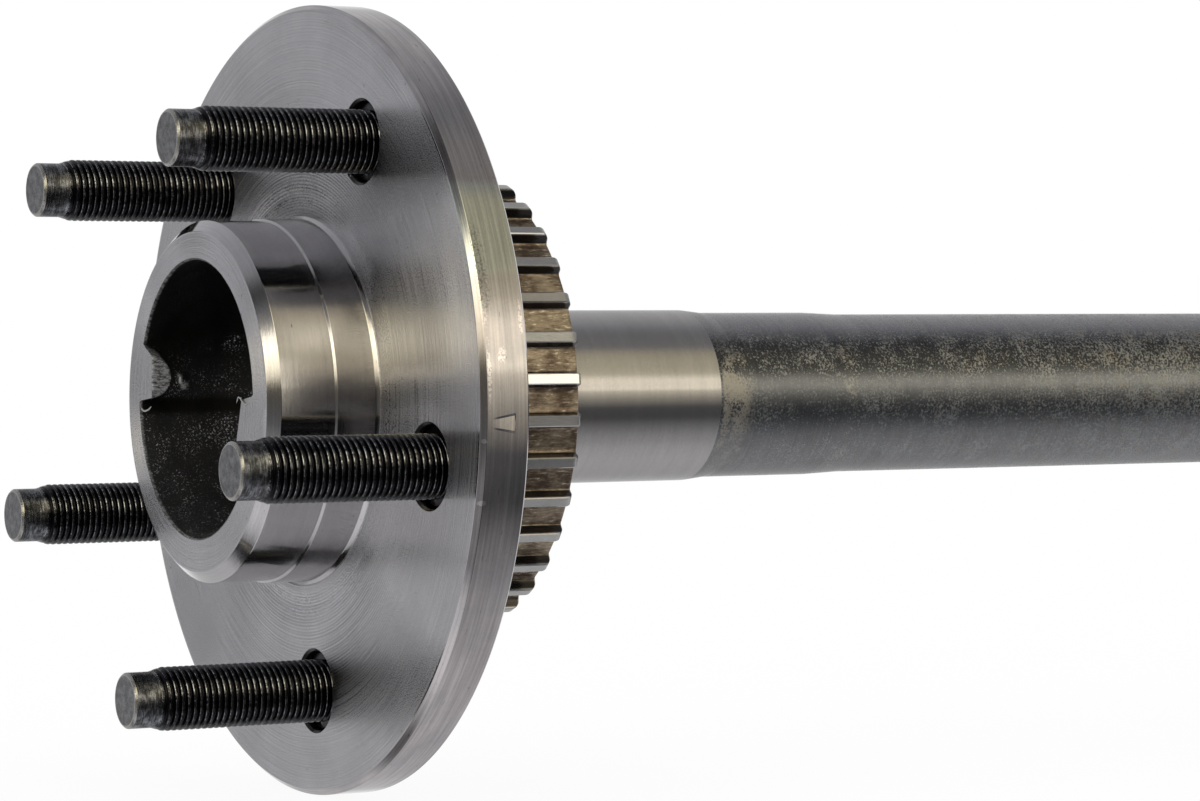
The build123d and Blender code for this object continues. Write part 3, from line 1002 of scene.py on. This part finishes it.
# The whole axle shaft: turned stretches, the two flange faces with their stud holes,
# the nose with the recess, and the splined end, welded into one closed mesh.
def makeAxleShaft():
    nose, rear, registerRadius = pilot["noseY"], flange["thickness"], pilot["registerRadius"]
    grids = [stretch(barrel, [
        (pilot["edgeRadius"], nose, 0),
        (pilot["noseRadius"], nose, 0.12),
        (pilot["radius"], pilot["chamferEnd"], 0.18),
        (pilot["radius"], pilot["registerY"] - 0.4, 0.05),
        (registerRadius, pilot["registerY"], 0.06),
        (registerRadius, -0.75, 0.35),
        (pilot["stepRadius"], -0.06, 0),
    ])]
    grids.append(stretch(faced, [
        (pilot["stepRadius"], -0.06, 0),
        (36.28, 0.0, 0.02),
        (36.45, 0.22, 0.05),
        (36.62, 0.0, 0.06),
        (37.55, 0.0, 0.2),
        (40.5, 0.2, 2.0),
        (43.55, 0.0, 1.5),
        (flange["faceInside"], 0.0, 0),
    ]))
    grids.append(stretch(barrel, [
        (flange["faceOutside"], 0, 0),
        (flange["radius"] - flange["frontChamfer"], 0, 0.12),
        (flange["radius"], flange["frontChamfer"], 0.14),
        (flange["radius"], rear - flange["rearChamfer"], 0.1),
        (flange["radius"] - flange["rearChamfer"], rear, 0.1),
        (flange["faceOutside"], rear, 0),
    ]))
    for index in range(studs["count"]):
        startRadius = flange["mouthRadius"] + 0.04
        fifth, centre, direction = faceFifth(index, 0.0, startRadius)
        back, _, _ = faceFifth(index, rear, flange["holeRadius"])
        grids += [(fifth, faced), (holeBore(centre, direction, startRadius), black), (back, faced)]
    neck, seat, journal = shaft["neckRadius"], shaft["seatRadius"], shaft["journalRadius"]
    grids.append(stretch(barrel, [
        (flange["faceInside"], rear, 0),
        (neck, rear, 4.8),
        (neck, shaft["ringFront"], 0.3),
        (seat, shaft["ringFront"], 0.2),
        (seat, shaft["seatEnd"] - 0.8, 0.1),
        (seat - 0.8, shaft["seatEnd"], 0.15),
        (shaft["webRadius"], shaft["seatEnd"], 1.2),
        (journal, shaft["webEnd"], 5.0),
        (journal, shaft["journalStart"], 0),
    ]))
    grids.append(stretch(ground, [
        (journal, shaft["journalStart"], 0),
        (journal, shaft["journalEnd"] - 0.3, 0),
        (journal - 0.01, shaft["journalEnd"], 0),
    ]))
    tube = stretch(forged, [
        (journal - 0.01, shaft["journalEnd"], 0),
        (journal - 0.05, shaft["journalEnd"] + 0.4, 0.1),
        (shaft["shoulderRadius"], shaft["taperEnd"], 1.5),
        (shaft["shoulderRadius"], shaft["shoulderEnd"], 4.0),
        (shaft["radius"], shaft["forgedStart"], 4.0),
        (shaft["radius"], shaft["splineStart"] - 0.6, 0.2),
        (shaft["majorRadius"], shaft["splineStart"] - 0.3, 0),
    ])
    splines = splineSurface()
    groove, button, end = shaft["grooveRadius"], shaft["buttonRadius"], shaft["end"]
    ending = stretch(barrel, [
        (14.6, shaft["splineEnd"], 0),
        (groove, shaft["splineEnd"], 0.2),
        (groove, shaft["grooveEnd"], 0.2),
        (button, shaft["grooveEnd"], 0.25),
        (button, end - shaft["buttonChamfer"], 0.2),
        (button - shaft["buttonChamfer"], end, 0.2),
        (4.2, end, 0.1),
        (3.9, end - 0.3, 0.0),
        (0.0, end - 6.9, 0),
    ])
    grids += [tube, (np.stack([tube[0][-1], splines[0]]), barrel), (splines, barrel)]
    grids += [(np.stack([splines[-1], ending[0][0]]), barrel), ending]
    grids += [(burrSurface(burrs["crescent"]), ground), (burrSurface(burrs["hook"]), ground)]
    bowl, onLug = recessSurface()
    grids += [(noseFace(pilot["edgeRadius"], bowl[0]), faced), (bowl, rough)]
    # The recess passes its painted light on the lug and the fold's painted glint in this attribute.
    wearAndLight = [np.zeros(points.shape[:2]) for points, _ in grids[:-1]] + [onLug]
    piece = weldedPiece("axle_shaft_dressed", grids, axleFinishes, 36, wearAndLight)
    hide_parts("axle_shaft")


# One wheel stud. The thread's radius is a wave along the stud that turns once round
# for each pitch, held under the cone of the lead. The outer edge of each crest is
# rubbed, and lighter on one side by a bell curve of the angle from there, which is painted highlight.
def makeStud(index):
    columns = np.arange(studs["columns"]) * 2 * math.pi / studs["columns"]
    dogRadius, tip, chamfer = studs["dogRadius"], -studs["length"], studs["tipChamfer"]
    point = softOutline([
        (0.0, tip, 0),
        (dogRadius - 0.8, tip, 0),
        (dogRadius - chamfer, tip, 0.2),
        (dogRadius, tip + chamfer, 0.25),
        (dogRadius, studs["dogEnd"], 0),
    ])
    rowStep = studs["pitch"] / studs["rowsPerPitch"]
    along = np.arange(studs["dogEnd"] + 0.05, studs["setback"] - 0.1, rowStep)[:, None]
    wave = (along / studs["pitch"] + columns / (2 * math.pi)) % 1.0      # share of a pitch
    crest = ease(np.abs(2 * wave - 1), 0.08, 0.86)
    threaded = studs["crestRadius"] - studs["threadDepth"] * (1 - crest)
    rubbedAndLit = np.maximum(easeBetween(wave, *studs["rubSpan"]), 0.6 * easeBetween(wave, *studs["rearSpan"]))
    fromLitSide = turnFrom(studs["litSideAngle"], columns)
    # Crests lighter on one side: painted highlight.
    rubbedAndLit = rubbedAndLit * (0.6 + 0.4 * np.exp(-(fromLitSide / studs["litSideReach"]) ** 2))
    slope = (studs["crestRadius"] - dogRadius) / (studs["leadEnd"] - studs["dogEnd"])
    lead = dogRadius + (along - studs["dogEnd"]) * slope
    thread = lifted(flatPoints(np.minimum(threaded, lead), columns), along)
    knurl = studs["knurlRadius"] - studs["knurlDepth"] * (np.arange(studs["columns"]) % 2)
    knurlStart, chamfer = studs["setback"], studs["knurlChamfer"]
    knurlAlong = np.array([knurlStart, knurlStart + chamfer, studs["knurlEnd"]])[:, None]
    knurlRadius = knurl - np.array([chamfer, 0.0, 0.0])[:, None]
    knurled = lifted(flatPoints(knurlRadius, columns), knurlAlong)
    head = turnedSurface(softOutline([
        (studs["headBore"], studs["headFront"], 0),
        (studs["headRadius"], studs["headFront"], 0.3),
        (studs["headRadius"], studs["headRear"] - 0.6, 0.3),
        (studs["headRadius"] - 0.6, studs["headRear"], 0.3),
        (0.0, studs["headRear"], 0),
    ]), columns)
    points = np.concatenate([turnedSurface(point, columns), thread, knurled, head])
    onTip = point[:, 1:] < tip + 0.03
    onEdge = (point[:, :1] > dogRadius - 0.6) & (point[:, 1:] < tip + 0.5)
    wearAndLight = np.concatenate([
        np.where(onEdge, 4.0, np.where(onTip, 3.0, 2.0)) + np.zeros(studs["columns"]),
        np.where(along < studs["dogEnd"] + 0.4, 2.0, rubbedAndLit),
        np.zeros((3, studs["columns"])),
        np.where(head[:, :, 1] > studs["headRear"] - 0.3, 2.0, 0.0),
    ])
    x, z = studCentre(index)
    points = points + np.array([x, 0, z])
    piece = weldedPiece(f"wheel_stud_dressed_{index + 1}", [(points, 0)], [blackStud], 32, [wearAndLight])
    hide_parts(f"wheel_stud_{index + 1}")


ring = {
    "teeth": 35,
    "firstTooth": math.radians(-3.95),
    "front": 20.5,
    "rear": 39.0,
    "tipRadius": 45.6,
    "rootRadius": 43.2,
    "boreRadius": 37.0,
    "boreChamfer": 0.5,
    "faceRadius": 41.8,      # where the flat ends of the ring change from teeth to bore
    "endRounding": 1.9,
    "frontChamfer": 0.5,
    "topHalf": 1.0,
    "baseHalf": 1.375,
}


# The toothed ring. Each column has a sideways place on its tooth and a share of the
# tooth's height, and the tooth's top bends down to the rear face in a quarter round. On
# a tooth, x is radius cos angle - across sin angle and z radius sin angle + across cos
# angle, so that its sides stay straight.
def makeToneRing():
    top, base = ring["topHalf"], ring["baseHalf"]
    side = np.array([base + 0.42, base + 0.12, base, base * 0.6 + top * 0.4, top + 0.06, top - 0.14])
    share = np.array([0.0, 0.05, 0.13, 0.5, 0.93, 1.0])
    side = np.concatenate([-side, [0.0], side[::-1]])
    share = np.concatenate([share, [1.0], share[::-1]])
    pitch = 2 * math.pi / ring["teeth"]
    floorStart = side[-1] / ring["rootRadius"]
    floorAngles = np.linspace(floorStart, pitch - floorStart, 6)[1:-1]
    perTooth = len(side) + len(floorAngles)
    across = np.concatenate([side, 0 * floorAngles])
    heights = np.concatenate([share, 0 * floorAngles])
    extra = np.concatenate([0 * side, floorAngles])
    toothAngle = np.repeat(np.arange(ring["teeth"]) * pitch + ring["firstTooth"], perTooth)
    across, heights = np.tile(across, ring["teeth"]), np.tile(heights, ring["teeth"])
    angles = toothAngle + np.tile(extra, ring["teeth"])
    bend = np.linspace(0, math.pi / 2, 8)
    rounding = ring["endRounding"]
    front, rear, rootRadius = ring["front"], ring["rear"], ring["rootRadius"]
    rows = np.concatenate([
        [front, front + 0.15, front + ring["frontChamfer"], front + 1],
        np.linspace(front + 3, rear - rounding - 1, 7),
        rear - rounding * (1 - np.sin(bend)),
    ])
    drop = np.concatenate([[0.5, 0.33, 0.03, 0.0], np.zeros(7), rounding * (1 - np.cos(bend))])
    rootDrop = np.interp(np.minimum(rows - front, rear - rows), [0, 0.12, 0.35], [0.22, 0.06, 0])
    toothHeight = ring["tipRadius"] - drop - rootRadius + rootDrop
    radial = (rootRadius - rootDrop)[:, None] + heights * toothHeight[:, None]
    flatAngles = angles + across / rootRadius
    onFloor = heights == 0
    x = np.where(onFloor, radial * np.cos(flatAngles), radial * np.cos(angles) - across * np.sin(angles))
    z = np.where(onFloor, radial * np.sin(flatAngles), radial * np.sin(angles) + across * np.cos(angles))
    outside = lifted(np.stack([x, z], axis=2), rows[:, None])
    bore, chamfer = ring["boreRadius"], ring["boreChamfer"]
    inside = turnedSurface(np.array([
        [ring["faceRadius"], rear],
        [bore + chamfer, rear],
        [bore, rear - chamfer],
        [bore, front + chamfer],
        [bore + chamfer, front],
        [ring["faceRadius"], front],
    ]), flatAngles)
    points = np.concatenate([outside, inside, outside[:1]])
    piece = weldedPiece("tone_ring_dressed", [(points, 0)], [steelRing], 32)
    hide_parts("tone_ring")


makeAxleShaft()
for number in range(studs["count"]):
    makeStud(number)
makeToneRing()

# What the polished steel mirrors, by the angle about the shaft: 0 is the camera's side,
# 90 overhead, 180 the white sheet behind the object and -90 the table. Each stop is
# (angle, brightness, warmth). The warm soft box stands at about 14 to 63 degrees.
studio = {
    "behindFlange": [
        (-180, 1.05, 0), (-166, 1.0, 0), (-156, 0.64, 0), (-138, 0.56, 0), (-90, 0.57, 0),
        (-55, 0.42, 0), (-28, 0.09, 0), (-14, 0.12, 0), (-2, 0.46, 0.5), (8, 0.90, 0.6),
        (11, 1.60, 0.6), (15, 1.40, 0.6), (23, 1.42, 0.6), (31, 0.62, 0.65), (40, 0.40, 0.7),
        (61, 0.39, 0.7), (65, 0.28, 0.2), (84, 0.24, 0), (98, 0.25, -0.1), (112, 0.36, -0.1),
        (128, 0.48, 0), (160, 0.62, 0), (168, 0.90, 0), (176, 1.05, 0),
    ],
    "wheelSide": [
        (-180, 0.52, -0.1), (-168, 0.62, 0), (-130, 0.68, 0), (-120, 0.16, 0), (-112, 0.13, 0),
        (-104, 0.66, 0), (-94, 0.88, 0), (-66, 0.92, 0), (-57, 0.16, 0), (-44, 0.03, 0),
        (5, 0.03, 0), (10, 0.06, 0.5), (14, 0.40, 0.7), (18, 1.00, 0.8), (24, 1.60, 0.9), (31, 2.00, 0.9),
        (37, 2.65, 0.8), (45, 2.55, 0.8), (53, 1.85, 0.9), (62, 1.20, 0.9), (64, 0.25, 0.4),
        (72, 0.17, 0), (80, 0.11, 0), (88, 0.035, 0), (97, 0.08, 0), (105, 0.36, -0.1),
        (150, 0.52, -0.1),
    ],
    "straightAtWheel": [
        (-180, 0.52, 0), (-150, 0.70, 0), (-97, 0.68, 0), (-80, 0.30, 0), (-72, 0.23, 0),
        (-60, 0.34, 0), (-42, 0.34, 0), (-20, 0.15, 0), (-2, 0.13, 0.3), (10, 0.13, 0.6),
        (16, 0.20, 0.7), (21, 0.58, 0.7), (27, 1.30, 0.7), (36, 1.90, 0.7), (46, 2.45, 0.7),
        (56, 2.85, 0.5), (62, 2.60, 0.5), (65, 0.85, 0.4), (72, 0.45, 0.2), (84, 0.24, 0),
        (92, 0.20, 0), (108, 0.40, -0.1), (150, 0.66, -0.1),
    ],
    "rampTop": 3.0,                     # the brightest that a ramp can hold
    "warmTint": (0.09, -0.05, -0.38),   # what a warmth of 1 adds to red, green and blue
    "greener": 1.02,
    "greenSpan": (30, 58),
    "wheelToBehind": (-0.03, 0.27),     # y of a direction over which one ramp takes over
    "straightToWheel": (-0.84, -0.72),
    "plainLevel": 1.0,                  # what unpolished surfaces receive from every side
}


# A colour ramp over the full turn. Brightness is divided by the ramp's top in it and
# multiplied after it, because a ramp's colours end at 1. The soft box is a little greener
# in its upper part.
def studioRamp(tree, turn, stops):
    node = tree.nodes.new("ShaderNodeValToRGB")
    feed(tree, node.inputs[0], turn)
    elements = node.color_ramp.elements
    while len(elements) < len(stops) + 1:
        elements.new(0.5)
    for element, (angle, level, warmth) in zip(elements, [*stops, (180, *stops[0][1:])]):
        element.position = angle / 360 + 0.5
        red, green, blue = (1 + part * warmth for part in studio["warmTint"])
        if studio["greenSpan"][0] < angle < studio["greenSpan"][1]:
            green = green * studio["greener"]
        element.color = (*(level * part / studio["rampTop"] for part in (red, green, blue)), 1.0)
    return node.outputs[0]


# The world: polished steel mirrors the ramps, picked by angle about the shaft and blended
# by y, and everything else is lit by plain white from every side.
def makeStudio():
    world = bpy.data.worlds.new("studio")
    bpy.context.scene.world = world
    world.use_nodes = True
    world.cycles.sampling_method = "NONE"
    tree = world.node_tree
    tree.nodes.clear()
    output = tree.nodes.new("ShaderNodeOutputWorld")
    direction = tree.nodes.new("ShaderNodeTexCoord").outputs["Generated"]
    split = tree.nodes.new("ShaderNodeSeparateXYZ")
    feed(tree, split.inputs[0], direction)
    x, y, z = split.outputs
    turn = calc(tree, "ADD", calc(tree, "DIVIDE", calc(tree, "ARCTAN2", z, x), 2 * math.pi), 0.5)
    behind = studioRamp(tree, turn, studio["behindFlange"])
    wheel = studioRamp(tree, turn, studio["wheelSide"])
    straight = studioRamp(tree, turn, studio["straightAtWheel"])
    mirrored = blend(tree, spread(tree, y, *studio["wheelToBehind"]), wheel, behind)
    mirrored = blend(tree, spread(tree, y, *studio["straightToWheel"]), straight, mirrored)
    mirroredLight = tree.nodes.new("ShaderNodeBackground")
    feed(tree, mirroredLight.inputs["Color"], mirrored)
    mirroredLight.inputs["Strength"].default_value = studio["rampTop"]
    plainLight = tree.nodes.new("ShaderNodeBackground")
    plainLight.inputs["Color"].default_value = (1.0, 1.0, 1.0, 1.0)
    plainLight.inputs["Strength"].default_value = studio["plainLevel"]
    rays = tree.nodes.new("ShaderNodeLightPath")
    pick = tree.nodes.new("ShaderNodeMixShader")
    feed(tree, pick.inputs[0], rays.outputs["Is Glossy Ray"])
    tree.links.new(plainLight.outputs[0], pick.inputs[1])
    tree.links.new(mirroredLight.outputs[0], pick.inputs[2])
    tree.links.new(pick.outputs[0], output.inputs["Surface"])
    print("studio ready")


table = {
    "size": 8.0,             # metres from its middle to its edge
    "colour": (0.985, 0.985, 0.985, 1.0),
    "roughness": 0.9,
    "whiteness": 0.93,       # how far it is washed out to white where it is seen
}


# The table under the flange: a square that the object's shadow falls on, mixed with
# plain white for what the camera sees.
def makeFloor():
    size = table["size"]
    mesh = bpy.data.meshes.new("floor")
    height = -flange["radius"] * mm
    mesh.from_pydata([(-size, -size, height), (size, -size, height), (size, size, height),
                      (-size, size, height)], [], [(0, 1, 2, 3)])
    floor = bpy.data.objects.new("floor", mesh)
    bpy.context.scene.collection.objects.link(floor)
    material, tree, shader = newFinish("pale_table", 0.0, table["roughness"])
    shader.inputs["Base Color"].default_value = table["colour"]
    shader.inputs["Specular IOR Level"].default_value = 0.0
    rays = tree.nodes.new("ShaderNodeLightPath")
    seen = calc(tree, "MAXIMUM", rays.outputs["Is Camera Ray"], rays.outputs["Is Glossy Ray"])
    seen = calc(tree, "MAXIMUM", seen, rays.outputs["Is Transmission Ray"])
    white = tree.nodes.new("ShaderNodeEmission")
    pick = tree.nodes.new("ShaderNodeMixShader")
    feed(tree, pick.inputs[0], product(tree, seen, table["whiteness"]))
    tree.links.new(shader.outputs[0], pick.inputs[1])
    tree.links.new(white.outputs[0], pick.inputs[2])
    tree.links.new(pick.outputs[0], tree.nodes["Material Output"].inputs["Surface"])
    mesh.materials.append(material)
    floor.visible_glossy = False


camera = {
    "place": (0.703298, -0.329252, 0.024288),
    "azimuth": math.radians(60.535),     # 0 looks along +Y
    "elevation": math.radians(1.785),
    "roll": math.radians(0.169),
    "lens": 117.93,
    "sensor": 36.0,
    "clip": (0.01, 60.0),
}


# The camera's axes: forward from azimuth and elevation, right level with the floor and
# up square to both, then both turned by the roll.
def makeCamera():
    azimuth, elevation, roll = camera["azimuth"], camera["elevation"], camera["roll"]
    forward = np.array([-math.sin(azimuth) * math.cos(elevation),
                        math.cos(azimuth) * math.cos(elevation), -math.sin(elevation)])
    level = np.array([math.cos(azimuth), math.sin(azimuth), 0.0])
    upright = np.cross(level, forward)
    right = level * math.cos(roll) + upright * math.sin(roll)
    up = -level * math.sin(roll) + upright * math.cos(roll)
    data = bpy.data.cameras.new("camera")
    data.lens = camera["lens"]
    data.sensor_width = camera["sensor"]
    data.clip_start, data.clip_end = camera["clip"]
    eye = bpy.data.objects.new("camera", data)
    bpy.context.scene.collection.objects.link(eye)
    place = Matrix.Identity(4)
    for row in range(3):
        place[row][0], place[row][1], place[row][2] = right[row], up[row], -forward[row]
        place[row][3] = camera["place"][row]
    eye.matrix_world = place
    bpy.context.scene.camera = eye
    print("camera ready")


makeStudio()
makeFloor()
makeCamera()
bpy.context.scene.view_settings.view_transform = "Standard"
